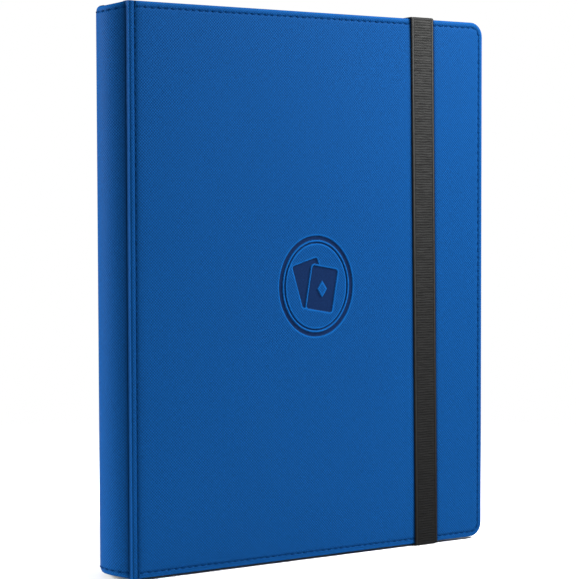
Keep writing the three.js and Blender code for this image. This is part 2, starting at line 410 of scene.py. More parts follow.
def foam_cells(graph, scene):
    """Open-cell foam sheet."""
    foam = scene.binder_colours.foam
    place = graph.place()
    cells = graph.add("ShaderNodeTexVoronoi", {}, {"Vector": place, "Scale": 900.0}, "Distance")
    dust = graph.noise(place, 60.0, 4.0)
    base = graph.mix(dust * 0.3, graph.shades(cells, foam, 1.0, 0.6), shade(foam, 0.85))
    graph.surface(base, 0.9 + 0.08 * dust, cells, (0.8, 0.0003))


def pressed_board(graph, scene):
    """Raw greyboard with pressed fibres."""
    board = scene.binder_colours.board
    place = graph.place()
    fibres = graph.stretched(place, (900.0, 900.0, 120.0), 4.0, 0.7)
    specks = graph.noise(place, 1300.0, 2.0)
    base = graph.shades(fibres, board, 0.7, 1.25)
    base = graph.mix((specks - 0.62).clamped() * 2.0, base, shade(board, 0.45))
    graph.surface(base, 0.86 + 0.1 * fibres, fibres + specks * 0.5, (0.5, 0.0002))


def drawn_strip(graph, scene):
    """Black plastic strip with drawn lines along its length."""
    lines = graph.stretched(graph.place(), (2600.0, 2600.0, 9.0), 3.0)
    base = graph.shades(lines, scene.binder_colours.binding, 0.7, 1.8)
    graph.surface(base, 0.45 + 0.25 * lines, lines, (0.4, 0.0001))


def backing_sheet(graph, scene):
    """Black backing sheet, crosshatched where the pocket films are welded to it."""
    sheet = scene.binder_colours.sheet
    plan = graph.plan()
    u, v, _ = graph.parts(graph.scaled(plan, [1900.0] * 3))
    hatch = (u + v).math("SINE") * (u - v).math("SINE") * 0.5 + 0.5
    weld = graph.attribute("weld")
    scuff = graph.stretched(plan, (60.0, 400.0, 1.0), 4.0)
    base = graph.mix(weld * hatch, graph.shades(scuff, sheet, 0.8, 1.6), shade(sheet, 2.6))
    graph.surface(base, 0.34 + 0.12 * scuff + 0.2 * weld, weld * hatch + scuff * 0.1)


def clear_film(graph, scene):
    """Clear pocket film: faint, glossy, slightly rippled."""
    plan = graph.plan()
    ripple = graph.stretched(plan, (45.0, 20.0, 1.0), 3.0)
    scratch = graph.stretched(plan, (2200.0, 90.0, 1.0), 2.0)
    base = graph.mix(scratch, (0.08, 0.085, 0.09), (0.16, 0.165, 0.17))
    graph.surface(base, 0.10 + 0.12 * scratch, ripple, (0.35, 0.0009),
                  {"Alpha": 0.16, "Specular IOR Level": 0.6})


def ribbed_elastic(graph, scene):
    """Charcoal knitted elastic: lighter rib crests, lint, painted light that makes it paler towards the
    top, and painted shade on its side walls, back and outer borders.
    """
    elastic = scene.binder_colours.elastic
    plan = graph.plan()
    rib = graph.attribute("rib")
    knit = graph.stretched(plan, (2600.0, 1100.0, 1.0), 2.0)
    uneven = graph.stretched(plan, (140.0, 420.0, 1.0), 3.0)
    threads = (0.50 * rib + 1.5 * (knit - 0.5) + 0.9 * (uneven - 0.5) + 0.20).clamped()
    # painted light: the band gets paler towards the top, standing in for the overhead light falling on it
    painted_top_light = (graph.parts(graph.place())[2] / (HEIGHT * MM)).clamped().math("POWER", 1.5)
    base = graph.mix(painted_top_light, graph.shades(threads, elastic, 0.10, 0.52),
                     graph.shades(threads, elastic, 0.2, 3.3))
    # painted shade: the band's side walls and back, and the outer strip of its face, are darkened to stand
    # in for their shadow
    border = (abs(graph.attribute("across")) - 0.925) * 22.0
    edge = (1.0 - graph.attribute("face") + border.clamped()).clamped()
    graph.surface(graph.mix(edge, base, shade(elastic, 0.12)), 0.80 + 0.15 * knit,
                  rib * 0.5 + knit, (0.7, 0.0002), {"Specular IOR Level": 0.1})


def studio_paper(graph, scene):
    """Pale studio paper that fades out round the binder."""
    place = graph.place()
    speck = graph.noise(place, 120.0, 3.0)
    away = graph.add("ShaderNodeVectorMath", {"operation": "LENGTH"}, {0: place}, "Value")
    fade = graph.add("ShaderNodeMapRange", {"interpolation_type": "SMOOTHSTEP"}, {
        "Value": away, "From Min": 0.25, "From Max": 0.75, "To Min": 1.0, "To Max": 0.0}, "Result")
    graph.surface(graph.shades(speck, scene.binder_stage.floor, 0.985, 1.0), 0.9 + 0.05 * speck,
                  constants={"Alpha": fade, "Specular IOR Level": 0.1})


# ---------------------------------------------------------------- meshes

def spaced(start, end, step):
    """Evenly spaced values from start to end, about step apart."""
    return np.linspace(start, end, max(2, int(round((end - start) / step)) + 1))


def merged(*lists):
    """Sorted values from several lists, each once."""
    return np.unique(np.round(np.concatenate(lists), 4))


def linked(name, mesh):
    """An object for a mesh, in the scene."""
    piece = bpy.data.objects.new(name, mesh)
    bpy.context.scene.collection.objects.link(piece)
    return piece


def keep_vectors(mesh, name, vectors):
    attribute = mesh.attributes.new(name, "FLOAT_VECTOR", "POINT")
    attribute.data.foreach_set("vector", np.asarray(vectors, np.float32).ravel())


def make_piece(name, points, faces, grain, values=None, side="back", outward=None):
    """A finished mesh from book millimetres, its values at each point and its flat cut."""
    mesh = bpy.data.meshes.new(name)
    mesh.from_pydata(to_frame(np.array(points, float) * FACING[side]).tolist(), [], faces)
    for key, array in (values or {}).items():
        attribute = mesh.attributes.new(key, "FLOAT", "POINT")
        attribute.data.foreach_set("value", np.asarray(array, np.float32))
    if outward is not None:
        keep_vectors(mesh, "outward", outward)
    corner_vertex = np.zeros(len(mesh.loops), np.int32)
    mesh.loops.foreach_get("vertex_index", corner_vertex)
    grain = np.asarray(grain, np.float32)[corner_vertex] * MM
    mesh.uv_layers.new(name=GRAIN).data.foreach_set("uv", grain.ravel())
    shape = bmesh.new()
    shape.from_mesh(mesh)
    bmesh.ops.remove_doubles(shape, verts=shape.verts, dist=1e-6)
    bmesh.ops.recalc_face_normals(shape, faces=shape.faces)
    shape.to_mesh(mesh)
    shape.free()
    mesh.shade_smooth()
    mesh.set_sharp_from_angle(angle=math.radians(42))
    return linked(name, mesh)


def woven_rows(count, size, closed=True, caps=True, start=0):
    """Faces between rows of points: round each row if it is closed, with flat caps if asked."""
    faces = []
    around = size if closed else size - 1
    for row in range(count - 1):
        for j in range(around):
            a = start + row * size + j
            b = start + row * size + (j + 1) % size
            faces.append((a, b, b + size, a + size))
    if caps:
        faces.append(tuple(start + j for j in reversed(range(size))))
        faces.append(tuple(start + (count - 1) * size + j for j in range(size)))
    return faces


def free_edges(inset, xs, zs, arc_steps=10):
    """A row of points in x and z round a cover's three free edges, bottom to top."""
    radius = CORNER - inset
    rows = [np.stack([xs, np.full_like(xs, inset)], 1)]
    angles = np.linspace(-math.pi / 2, 0, arc_steps + 1)[1:-1]
    bend = np.stack([np.cos(angles), np.sin(angles)], 1) * radius
    rows.append(bend + (WIDTH - CORNER, CORNER))
    rows.append(np.stack([np.full_like(zs, WIDTH - inset), zs], 1))
    rows.append(bend[::-1] * (1, -1) + (WIDTH - CORNER, HEIGHT - CORNER))
    rows.append(np.stack([xs[::-1], np.full_like(xs, HEIGHT - inset)], 1))
    return np.concatenate(rows)


def plate(stations, xs, zs, face, hidden_step=None):
    """A cover-shaped layer, drawn for the back cover.

    stations go from the hidden side round the free edges onto the face: (inset, y, plan inset), with
    y None on the face. face(x, z, inset) gives the face's y. hidden_step is the index in xs after
    which the hidden side changes its level, where it has two.
    """
    rows, plans, insets = [], [], []
    for inset, level, plan_inset in stations:
        ring = free_edges(inset, xs, zs)
        x, z = ring[:, 0], ring[:, 1]
        if level is None:
            y = face(x, z, np.full_like(x, inset))
        elif callable(level):
            y = level(x)
        else:
            y = np.full_like(x, level)
        rows.append(np.stack([x, y, z], 1))
        plans.append(free_edges(plan_inset, xs, zs))
        insets.append(np.full_like(x, inset))
    size = len(rows[0])
    faces = woven_rows(len(rows), size, closed=False, caps=False)

    grid_x, grid_z = np.meshgrid(xs, zs)
    x, z = grid_x.ravel(), grid_z.ravel()
    depth = np.minimum(WIDTH - x, np.minimum(z, HEIGHT - z))
    start = len(rows) * size
    rows.append(np.stack([x, face(x, z, depth), z], 1))
    plans.append(np.stack([x, z], 1))
    insets.append(depth)
    faces += woven_rows(len(zs), len(xs), closed=False, caps=False, start=start)

    last = len(stations) - 1
    wall = [row * size for row in range(last)]
    wall += [start + row * len(xs) for row in range(len(zs))]
    wall += [row * size + size - 1 for row in reversed(range(last))]
    faces.append(tuple(wall))
    if hidden_step is None:
        faces.append(tuple(reversed(range(size))))
    else:
        k = hidden_step
        faces.append(tuple([*range(k + 1), *range(size - 1 - k, size)]))
        faces.append((k, k + 1, size - 2 - k, size - 1 - k))
        faces.append(tuple(range(k + 1, size - 1 - k)))
    return np.concatenate(rows), faces, np.concatenate(plans), np.concatenate(insets)


def arc_stations(centre_inset, centre_y, radius, start, end, steps, spread):
    """Stations round an edge of that radius, and the plan inset reached at its end."""
    stations = []
    for angle in np.linspace(start, end, steps + 1):
        inset = centre_inset - radius * math.sin(angle)
        level = centre_y - radius * math.cos(angle)
        stations.append((inset, level, spread + radius * (angle - start)))
    return stations


# ---------------------------------------------------------------- covers

def smooth(value):
    value = np.clip(value, 0, 1)
    return value * value * (3 - 2 * value)


def groove_wall(x):
    """Depth below the face of the panel's shoulder beside the stitched hinge groove."""
    rise = np.clip((x - GROOVE_X) / 2.2, 0, 1)
    quarter = 1 - np.sqrt(1 - (1 - rise) ** 2)
    return (GROOVE_DEPTH - 0.35) * quarter + 0.35 * np.exp(-np.maximum(x - GROOVE_X, 0) / 2.0)


def rounded_card(x, z, centre, half, tilt, radius=1.6):
    """Distance outside a tilted card's outline, negative inside."""
    c, s = math.cos(tilt), math.sin(tilt)
    u = (x - centre[0]) * c + (z - centre[1]) * s
    v = (z - centre[1]) * c - (x - centre[0]) * s
    du, dv = np.abs(u) - half[0] + radius, np.abs(v) - half[1] + radius
    outside = np.hypot(np.maximum(du, 0), np.maximum(dv, 0))
    return outside + np.minimum(np.maximum(du, dv), 0) - radius


def badge_distance(x, z):
    """Distance outside the badge's lines, negative inside: an oval double ring round two cards."""
    u, v = x - BADGE_X, z - BADGE_Z
    near = np.hypot(u / BADGE_HALF[0], v / BADGE_HALF[1])
    slope = np.hypot(u / BADGE_HALF[0] ** 2, v / BADGE_HALF[1] ** 2)
    oval = near * (near - 1) / np.maximum(slope, 1e-6)
    rings = np.minimum(np.abs(oval + 1.25) - 1.25, np.abs(oval + 4.2) - 0.45)
    rear = rounded_card(u, v, (-4.6, 2.2), (9.4, 13.4), math.radians(17))
    front = rounded_card(u, v, (4.4, -1.8), (9.4, 13.4), math.radians(-10))
    diamond = (np.abs(u - 4.4) / 3.6 + np.abs(v + 1.8) / 5.2 - 1) * 2.9
    cards = np.minimum(np.maximum(rear, 1.1 - front), np.maximum(front, -diamond))
    return np.minimum(rings, cards)


def badge_mask(x, z):
    """1 where the badge is pressed in."""
    return smooth(0.5 - badge_distance(x, z) / 0.5)


def band_middle(z, y=-BAND_FACE):
    """The band's middle line: a little askew on the front, straight where it is sewn in behind."""
    askew = BAND_LEAN[0] + (BAND_LEAN[1] - BAND_LEAN[0]) * np.clip(z / HEIGHT, 0, 1)
    return BAND_X + askew * np.clip((BAND_TAIL[0] - y) / (BAND_TAIL[0] + BAND_FACE - 1.5), 0, 1)


def band_dent(x, z):
    """How far the band presses the padding in."""
    return 0.22 * smooth((BAND_HALF_WIDTH + 1.5 - np.abs(x - band_middle(z))) / 2.5)


def cover_face(sizes, is_front):
    """The outer face of a cover as a function of place."""
    seam, inset_seam = sizes.seam_depth / MM, sizes.stitch_inset / MM
    puff = sizes.panel_puff / MM * (1.0 if is_front else BACK_PUFF)
    press = sizes.badge_depth / MM

    def face(x, z, inset):
        away = np.minimum(inset, x - GROOVE_X)
        y = HALF - 0.1 + puff * (1 - np.exp(-np.maximum(away - 2.0, 0) / 14.0))
        y = y - seam * np.exp(-((inset - inset_seam) / 0.55) ** 2)
        y = y - groove_wall(x)
        waves = 0.035 * np.sin(x / 23 + 1.3) * np.sin(z / 31 + 0.4) + 0.02 * np.sin(x / 9 + z / 17)
        y = y + waves
        if is_front:
            y = y - band_dent(x, z) - press * badge_mask(x, z)
        return y

    return face


def cover_lines(is_front):
    """Grid lines of a cover's face, close together only where its shape needs them."""
    hinge = np.array([PANEL_START, 5.6, 6.0, 6.5, 7.1, 7.3, 8.2, 10.0, 13.0])
    band = spaced(BAND_X - 13, BAND_X + 13, 1.3)
    xs = [hinge, spaced(13, BAND_X - 13, 6.0), band, spaced(BAND_X + 13, WIDTH - CORNER, 5.0)]
    zs = [spaced(CORNER, HEIGHT - CORNER, 5.0)]
    if is_front:
        xs.append(spaced(BADGE_X - BADGE_HALF[0] - 1.5, BADGE_X + BADGE_HALF[0] + 1.5, 0.38))
        zs.append(spaced(BADGE_Z - BADGE_HALF[1] - 1.5, BADGE_Z + BADGE_HALF[1] + 1.5, 0.38))
    return merged(*xs), merged(*zs)


def cover_leather(side, sizes):
    """The leather of one cover: face, stitched border, rolled edges and the lip over the lining."""
    wall, lip, lip_face = 1.0, 2.6, INSIDE - 0.32
    step_x = 7.2               # where the hidden side steps up to leave room for the foam

    def ceiling(x):
        return np.where(x < step_x, HALF - 2.08, HALF - 0.88)

    turned = -6.5              # plan inset of the leather's turned-in edge
    stations = [
        (wall, ceiling, wall),
        (wall, INSIDE - 0.05, turned - 4.0),
        (lip, INSIDE - 0.05, turned - 2.5),
        (lip + 0.08, INSIDE - 0.2, turned - 2.3),
        (lip - 0.15, lip_face, turned - 2.0),
    ]
    stations += arc_stations(1.2, lip_face + 1.2, 1.2, 0, math.pi / 2, 5, turned)
    stations.append((0.0, HALF - 2.4, -2.6))
    top = HALF - 0.22
    stations += arc_stations(1.25, top - 1.25, 1.25, math.pi / 2, math.pi, 6, -1.0)
    stations += [(inset, None, inset) for inset in
                 (1.7, 2.1, 2.4, 2.65, 2.85, 3.0, 3.15, 3.35, 3.6, 3.95, 4.5, 5.4, 6.8, CORNER)]
    is_front = side == "front"
    xs, zs = cover_lines(is_front)
    points, faces, plan, inset = plate(
        stations, xs, zs, cover_face(sizes, is_front), hidden_step=int(np.searchsorted(xs, step_x)) - 1)
    x, y, z = points.T
    outer = y > HALF - 2.0
    rolled = np.exp(-((inset - 0.7) / 0.75) ** 2) * outer
    seam = np.exp(-((inset - sizes.stitch_inset / MM) / 0.45) ** 2) * outer
    # painted shade along the border seam and beside the hinge groove
    painted_shade = np.maximum(seam * 0.5, 0.6 * np.exp(-np.maximum(x - GROOVE_X, 0) / 2.0))
    foil = np.zeros_like(x)
    if is_front:
        foil = smooth(badge_mask(x, z) * 1.6 - 0.6) * outer
        # painted highlights along the badge's lines, in the lighter edge leather
        rolled = np.maximum(rolled, 1.9 * np.exp(-((badge_distance(x, z) - 0.55) / 0.4) ** 2) * outer)
        beside = np.abs(x - band_middle(z)) - BAND_HALF_WIDTH
        # painted shadow beside the band, and under it where the band lies
        painted_shade = np.maximum(painted_shade, 0.9 * np.exp(-(np.maximum(beside - 0.3, 0) / 0.9) ** 2) * outer)
    return make_piece(f"{side}_cover_leather", points, faces, plan,
                      {"wear_and_highlight": rolled, "painted_shade": np.clip(painted_shade, 0, 1), "foil": foil}, side)


def padding_foam(side):
    """The foam sheet between leather and board, with soft edges."""
    low, high = HALF - 2.08 + 0.02, HALF - 0.92
    stations = [(1.5, low, 1.5), (1.35, low + 0.15, 1.3), (1.3, low + 0.4, 1.1), (1.3, high - 0.5, 0.8),
                (1.42, high - 0.2, 0.6), (1.8, high - 0.05, 0.9), (2.6, None, 2.6), (CORNER, None, CORNER)]
    xs = merged(spaced(7.6, WIDTH - CORNER, 6.0))
    zs = spaced(CORNER, HEIGHT - CORNER, 6.0)

    def face(x, z, inset):
        return high + 0.02 * np.sin(x / 7) * np.sin(z / 8)

    points, faces, plan, _ = plate(stations, xs, zs, face)
    return make_piece(f"{side}_padding_foam", points, faces, plan, side=side)


def lining_cloth(side, sizes):
    """The lining glued inside one cover, pulled in along the border seam."""
    high, low = INSIDE + 0.48, INSIDE
    stations = [(1.3, high, 0.8), (LINING_INSET, high - 0.1, 0.9), (1.22, low + 0.12, 1.1),
                (1.32, low + 0.02, 1.3)]
    stations += [(inset, None, inset) for inset in
                 (1.6, 2.1, 2.5, 2.75, 3.0, 3.25, 3.5, 3.9, 4.8, 6.5, CORNER)]
    xs = merged([LINING_START, 6.2], spaced(8, WIDTH - CORNER, 6.0))
    zs = spaced(CORNER, HEIGHT - CORNER, 6.0)

    def face(x, z, inset):
        seam = 0.18 * np.exp(-((inset - sizes.stitch_inset / MM) / 0.5) ** 2)
        return low + seam + 0.012 * np.sin(x / 13) * np.sin(z / 19)

    points, faces, plan, _ = plate(stations, xs, zs, face)
    return make_piece(f"{side}_lining_cloth", points, faces, plan, side=side)


# ---------------------------------------------------------------- spine and hinges

def end_stations(seam_inset):
    """Heights up a spine-long piece, fine near its two ends, with the distance to the nearer end."""
    near = np.array([0, 0.06, 0.2, 0.45, 0.8, 1.3, 1.9, 2.5])
    near = merged(near, seam_inset + np.array([-0.35, -0.15, 0, 0.15, 0.35, 0.7, 1.3]), [6.0, 9.0])
    zs = merged(near, spaced(14, HEIGHT - 14, 9.0), HEIGHT - near)
    return zs, np.minimum(zs, HEIGHT - zs)


def spine_height(z, angle):
    """A height up the spine, moved because both ends are cut back a little towards the crown."""
    share = 1 - (np.asarray(angle) / SPINE_ANGLE) ** 2
    low, high = SPINE_CUT[0] * share, HEIGHT - SPINE_CUT[1] * share
    return low + (high - low) * z / HEIGHT


def turned_in(end):
    """How far the spine curves in at that distance from an end."""
    depth, reach = SPINE_CURL
    return depth * (1 - math.sqrt(1 - max(0.0, 1 - end / reach) ** 2))


def spine_layer(name, radii, half_angle, heights, values=None, seam=None, curls=True):
    """One curved layer of the spine between two radii, whose outer face curls in at both ends."""
    angles = np.linspace(-half_angle, half_angle, SPINE_POINTS)
    both = np.concatenate([angles, angles[::-1]])
    rows, plans = [], []
    for z in heights:
        end = min(z, HEIGHT - z)
        outer = radii[0] - curls * turned_in(end) - (seam(end) if seam else 0)
        inner = radii[1] - (turned_in(end) if seam else 0)
        radius = np.repeat([outer, inner], SPINE_POINTS)
        level = spine_height(z, both)
        rows.append(np.stack([SPINE_X - radius * np.cos(both), radius * np.sin(both), level], 1))
        plans.append(np.stack([SPINE_R * both, level], 1))
    faces = woven_rows(len(rows), 2 * SPINE_POINTS)
    return make_piece(name, np.concatenate(rows), faces, np.concatenate(plans), values)


def spine_leather(sizes):
    """The rounded leather spine, turned in at its ends, with a seam across each end."""
    inset, depth = sizes.stitch_inset / MM, sizes.seam_depth / MM
    heights, near = end_stations(inset)
    angles = np.linspace(-SPINE_ANGLE, SPINE_ANGLE, SPINE_POINTS)
    tucked = np.exp(-(SPINE_R * (SPINE_ANGLE - np.abs(angles))) / 1.3)
    pulled = 0.5 * np.exp(-((near - inset) / 0.45) ** 2)
    worn_and_highlit = np.exp(-((near - 0.9) / 1.0) ** 2)
    # painted shade towards the hinge creases and along the end seams; the hidden inner face is painted
    # fully shaded
    painted_shade = [np.concatenate([np.maximum(value, tucked), np.ones(SPINE_POINTS)]) for value in pulled]
    values = {"wear_and_highlight": np.repeat(worn_and_highlit, 2 * SPINE_POINTS), "painted_shade": np.concatenate(painted_shade),
              "foil": np.zeros(2 * SPINE_POINTS * len(near))}

    def seam(end):
        edge = 0.2 - math.sqrt(max(0.0, 0.04 - max(0.0, 0.2 - end) ** 2))
        return depth * math.exp(-((end - inset) / 0.55) ** 2) + edge

    return spine_layer("spine_leather", (SPINE_R, SPINE_R - LEATHER), SPINE_ANGLE, heights, values, seam)


def spine_inside(name, node, thickness):
    """The spine's board or its lining, cut to the same ends as the leather."""
    low, high = (book(corner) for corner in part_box(node))
    outer = SPINE_X - low[0]
    half_angle = math.asin(high[1] / outer)
    near = np.array([0.8, 1.0, 1.4, 2.0, 2.8, 3.6, 4.5])
    heights = merged(near, [HEIGHT * 0.25, HEIGHT * 0.5, HEIGHT * 0.75], HEIGHT - near)
    return spine_layer(name, (outer, outer - thickness), half_angle, heights, curls=node == "spine_board")


def through(knots, steps):
    """A smooth line through the knots (Catmull-Rom), steps points to each stretch."""
    knots = np.array(knots, float)
    padded = np.concatenate([[2 * knots[0] - knots[1]], knots, [2 * knots[-1] - knots[-2]]])
    line = []
    for a, b, c, d in zip(padded[:-3], padded[1:-2], padded[2:-1], padded[3:]):
        for t in np.arange(steps) / steps:
            line.append(0.5 * (2 * b + (c - a) * t + (2 * a - 5 * b + 4 * c - d) * t * t
                               + (3 * b - a - 3 * c + d) * t ** 3))
    line.append(knots[-1])
    return np.array(line)


def hinge_section():
    """The hinge strip's outline in x and y: outer side with lip, ridge and groove, then inner side."""
    groove = HALF - GROOVE_DEPTH - 0.1
    outer = through([
        (0.05, SPINE_END[1] - 0.1), (0.28, SPINE_END[1] + 0.75), (0.38, HALF - 1.5), (0.5, HALF - 0.78),
        (0.75, HALF - 0.58), (1.02, HALF - 0.78), (1.3, HALF - 0.7), (1.75, HALF - 0.42),
        (2.5, HALF - 0.3), (3.2, HALF - 0.38), (3.8, HALF - 0.68), (4.2, HALF - 1.02),
        (GROOVE_X, groove)], 4)
    shoulder_x = np.array([4.58, 4.7, 4.85, 5.05, PANEL_START])
    shoulder = np.stack([shoulder_x, HALF - 0.1 - groove_wall(shoulder_x)], 1)
    inner = through([(PANEL_START, INSIDE + 0.1), (4.3, INSIDE - 0.15), (2.7, INSIDE - 0.8),
                     (1.4, INSIDE - 1.9), (0.62, INSIDE - 2.75)], 5)
    tuck = np.array([(0.3, INSIDE - 2.4), (0.22, INSIDE - 1.0), (0.3, INSIDE + 0.35)])
    return np.concatenate([outer, shoulder, inner, tuck]), len(outer) + len(shoulder)


def hinge_leather(side, sizes):
    """The soft strip between spine and cover. Its inner side is faced with lining."""
    section, outer_count = hinge_section()
    zs, near = end_stations(sizes.stitch_inset / MM)
    along = np.concatenate([[0], np.cumsum(np.linalg.norm(np.diff(section, axis=0), axis=1))])
    outer = np.arange(len(section)) < outer_count
    rows, plans = [], []
    for z, end in zip(zs, near):
        roll = 0.5 - math.sqrt(max(0.0, 0.25 - max(0.0, 0.5 - end) ** 2))
        y = section[:, 1] - roll * outer
        rows.append(np.stack([section[:, 0], y, np.full(len(y), z)], 1))
        plans.append(np.stack([along, np.full(len(y), z)], 1))
    points = np.concatenate(rows)
    faces = woven_rows(len(rows), len(section))
    x, y = section.T
    # painted shade in the crease by the spine, in the small valley behind the lip and in the stitched
    # groove
    crease = np.exp(-np.maximum(y - SPINE_END[1], 0) / 1.3)
    pit = 0.55 * np.exp(-((x - 1.15) / 0.3) ** 2) * (y > HALF - 2.0)
    painted_shade = np.clip(crease + pit + 0.5 * np.exp(-((x - GROOVE_X) / 0.6) ** 2), 0, 1)
    # painted highlight along the edge of the lip
    wear_and_highlight = np.clip(2.4 * np.exp(-((x - 0.66) / 0.16) ** 2) * (y > HALF - 1.2), 0, 1)
    copies = len(rows)
    return make_piece(f"{side}_hinge_leather", points, faces, np.concatenate(plans),
                      {"wear_and_highlight": np.tile(wear_and_highlight, copies), "painted_shade": np.tile(painted_shade, copies),
                       "foil": np.zeros(len(points))}, side)


def face_inner_side(piece, side, material):
    """Gives the faces on the inner side of a hinge the lining's finish."""
    piece.data.materials.append(material)
    for polygon in piece.data.polygons:
        x, y, _ = book(polygon.center) * FACING[side]
        if y < INSIDE + 0.2 and x > 0.35 and len(polygon.vertices) == 4:
            polygon.material_index = 1


# ---------------------------------------------------------------- geometry nodes

def new_tree(name, inputs):
    """A geometry tree with its named inputs. Returns the graph and the sockets of its group input."""
    tree = bpy.data.node_groups.new(name, "GeometryNodeTree")
    graph = Graph(tree)
    tree.interface.new_socket("Geometry", in_out="INPUT", socket_type="NodeSocketGeometry")
    for label, kind in inputs.items():
        tree.interface.new_socket(label, in_out="INPUT", socket_type=kind)
    tree.interface.new_socket("Geometry", in_out="OUTPUT", socket_type="NodeSocketGeometry")
    node = tree.nodes.new("NodeGroupInput")
    return graph, {socket.name: Socket(graph, socket) for socket in node.outputs if socket.name}


def end_tree(graph, geometry, material):
    """Realizes what a tree made, gives it its material and hands it over."""
    real = graph.add("GeometryNodeRealizeInstances", {}, {"Geometry": geometry})
    dressed = graph.add("GeometryNodeSetMaterial", {}, {"Geometry": real, "Material": material})
    graph.add("NodeGroupOutput", {}, {0: dressed})
    return graph.tree


def grow(piece, tree, values):
    """Runs a geometry tree on a piece and keeps the result as its plain mesh."""
    modifier = piece.modifiers.new(tree.name, "NODES")
    modifier.node_group = tree
    for item in tree.interface.items_tree:
        if item.in_out == "INPUT" and item.name in values:
            modifier[item.identifier] = values[item.name]
    evaluated = piece.evaluated_get(bpy.context.evaluated_depsgraph_get())
    mesh = bpy.data.meshes.new_from_object(evaluated)
    piece.modifiers.remove(modifier)
    seed_mesh = piece.data
    piece.data = mesh
    bpy.data.meshes.remove(seed_mesh)
    mesh.name = piece.name
    return piece


def named(graph, name, kind="FLOAT"):
    return graph.add("GeometryNodeInputNamedAttribute", {"data_type": kind}, {"Name": name})


def stitch_tree():
    """Stitches at an even pitch along edges, lying on the surface that the edges mark."""
    graph, given = new_tree("stitch_row", {
        "Pitch": "NodeSocketFloat", "Length": "NodeSocketFloat", "Width": "NodeSocketFloat",
        "Wander": "NodeSocketFloat", "Seed": "NodeSocketInt", "Material": "NodeSocketMaterial"})
    curve = graph.add("GeometryNodeMeshToCurve", {}, {"Mesh": given["Geometry"]})
    points = graph.add("GeometryNodeCurveToPoints", {"mode": "LENGTH"},
                       {"Curve": curve, "Length": given["Pitch"]})
    tangent = Socket(graph, points.socket.node.outputs["Tangent"])
    facing = graph.add("FunctionNodeAxesToRotation", {"primary_axis": "X", "secondary_axis": "Z"}, {
        "Primary Axis": tangent, "Secondary Axis": named(graph, "outward", "FLOAT_VECTOR")})
    swing = graph.add("FunctionNodeRandomValue", {"data_type": "FLOAT"}, {
        "Min_001": given["Wander"] * -1.0, "Max_001": given["Wander"], "Seed": given["Seed"]}, "Value_001")
    turn = graph.add("FunctionNodeEulerToRotation", {}, {
        0: graph.add("ShaderNodeCombineXYZ", {}, {"Z": swing})})
    rotation = graph.add("FunctionNodeRotateRotation", {"rotation_space": "LOCAL"}, {
        "Rotation": facing, "Rotate By": turn})
    bead = graph.add("GeometryNodeMeshUVSphere", {}, {"Segments": 8, "Rings": 6, "Radius": 0.5})
    size = graph.add("ShaderNodeCombineXYZ", {}, {
        "X": given["Length"], "Y": given["Width"], "Z": given["Width"] * 0.7})
    stitch = graph.add("GeometryNodeTransform", {}, {"Geometry": bead, "Scale": size})
    place = graph.add("GeometryNodeInputPosition")
    x, y, _ = graph.parts(place)
    stitch = graph.add("GeometryNodeStoreNamedAttribute", {"data_type": "FLOAT", "domain": "POINT"}, {
        "Geometry": stitch, "Name": "twist", "Value": x + 0.6 * y})
    vary = graph.add("FunctionNodeRandomValue", {"data_type": "FLOAT"}, {
        "Min_001": 0.9, "Max_001": 1.06, "Seed": given["Seed"] + 1.0}, "Value_001")
    row = graph.add("GeometryNodeInstanceOnPoints", {}, {
        "Points": points, "Instance": stitch, "Rotation": rotation, "Scale": vary})
    row = graph.add("GeometryNodeSetShadeSmooth", {}, {"Geometry": row})
    return end_tree(graph, row, given["Material"])


def band_tree():
    """Ribs across an elastic band, with a raised selvedge along each side."""
    graph, given = new_tree("elastic_ribs", {
        "Rib Pitch": "NodeSocketFloat", "Rib Height": "NodeSocketFloat", "Unevenness": "NodeSocketFloat",
        "Selvedge Height": "NodeSocketFloat", "Seed": "NodeSocketInt", "Material": "NodeSocketMaterial"})
    along, across = named(graph, "along"), abs(named(graph, "across"))
    drift = graph.noise(graph.add("ShaderNodeCombineXYZ", {}, {
        "X": named(graph, "across") * 1.6, "Y": along * 420.0, "Z": given["Seed"] * 3.7}), 1.0, 2.0)
    phase = along / given["Rib Pitch"] + (drift - 0.5) * given["Unevenness"]
    rib = (phase * (2 * math.pi)).math("COSINE") * 0.5 + 0.5
    inside = 1.0 - ((across - 0.73) * 18.0).clamped()
    selvedge = (1.4 - abs(across - 0.87) / 0.05).clamped()
    height = given["Rib Height"] * rib * inside + given["Selvedge Height"] * selvedge
    height = height * named(graph, "face")
    offset = graph.add("ShaderNodeVectorMath", {"operation": "SCALE"}, {
        0: named(graph, "outward", "FLOAT_VECTOR"), "Scale": height})
    shaped = graph.add("GeometryNodeSetPosition", {}, {"Geometry": given["Geometry"], "Offset": offset})
    shaped = graph.add("GeometryNodeStoreNamedAttribute", {"data_type": "FLOAT", "domain": "POINT"}, {
        "Geometry": shaped, "Name": "rib", "Value": rib * inside + selvedge * 2.2})
    return end_tree(graph, shaped, given["Material"])


# ---------------------------------------------------------------- stitching

def seam_lines(name, lines, side="back"):
    """A bare mesh of edges for stitches to follow: each line is its points and its facing."""
    turn = FACING[side]
    points, edges, outward = [], [], []
    for line, facing in lines:
        start = len(points)
        points += list(np.asarray(line, float) * turn)
        outward += list(np.broadcast_to(facing, (len(line), 3)) * turn)
        edges += [(start + i, start + i + 1) for i in range(len(line) - 1)]
    mesh = bpy.data.meshes.new(name)
    mesh.from_pydata(to_frame(points).tolist(), edges, [])
    keep_vectors(mesh, "outward", outward)
    return linked(name, mesh)


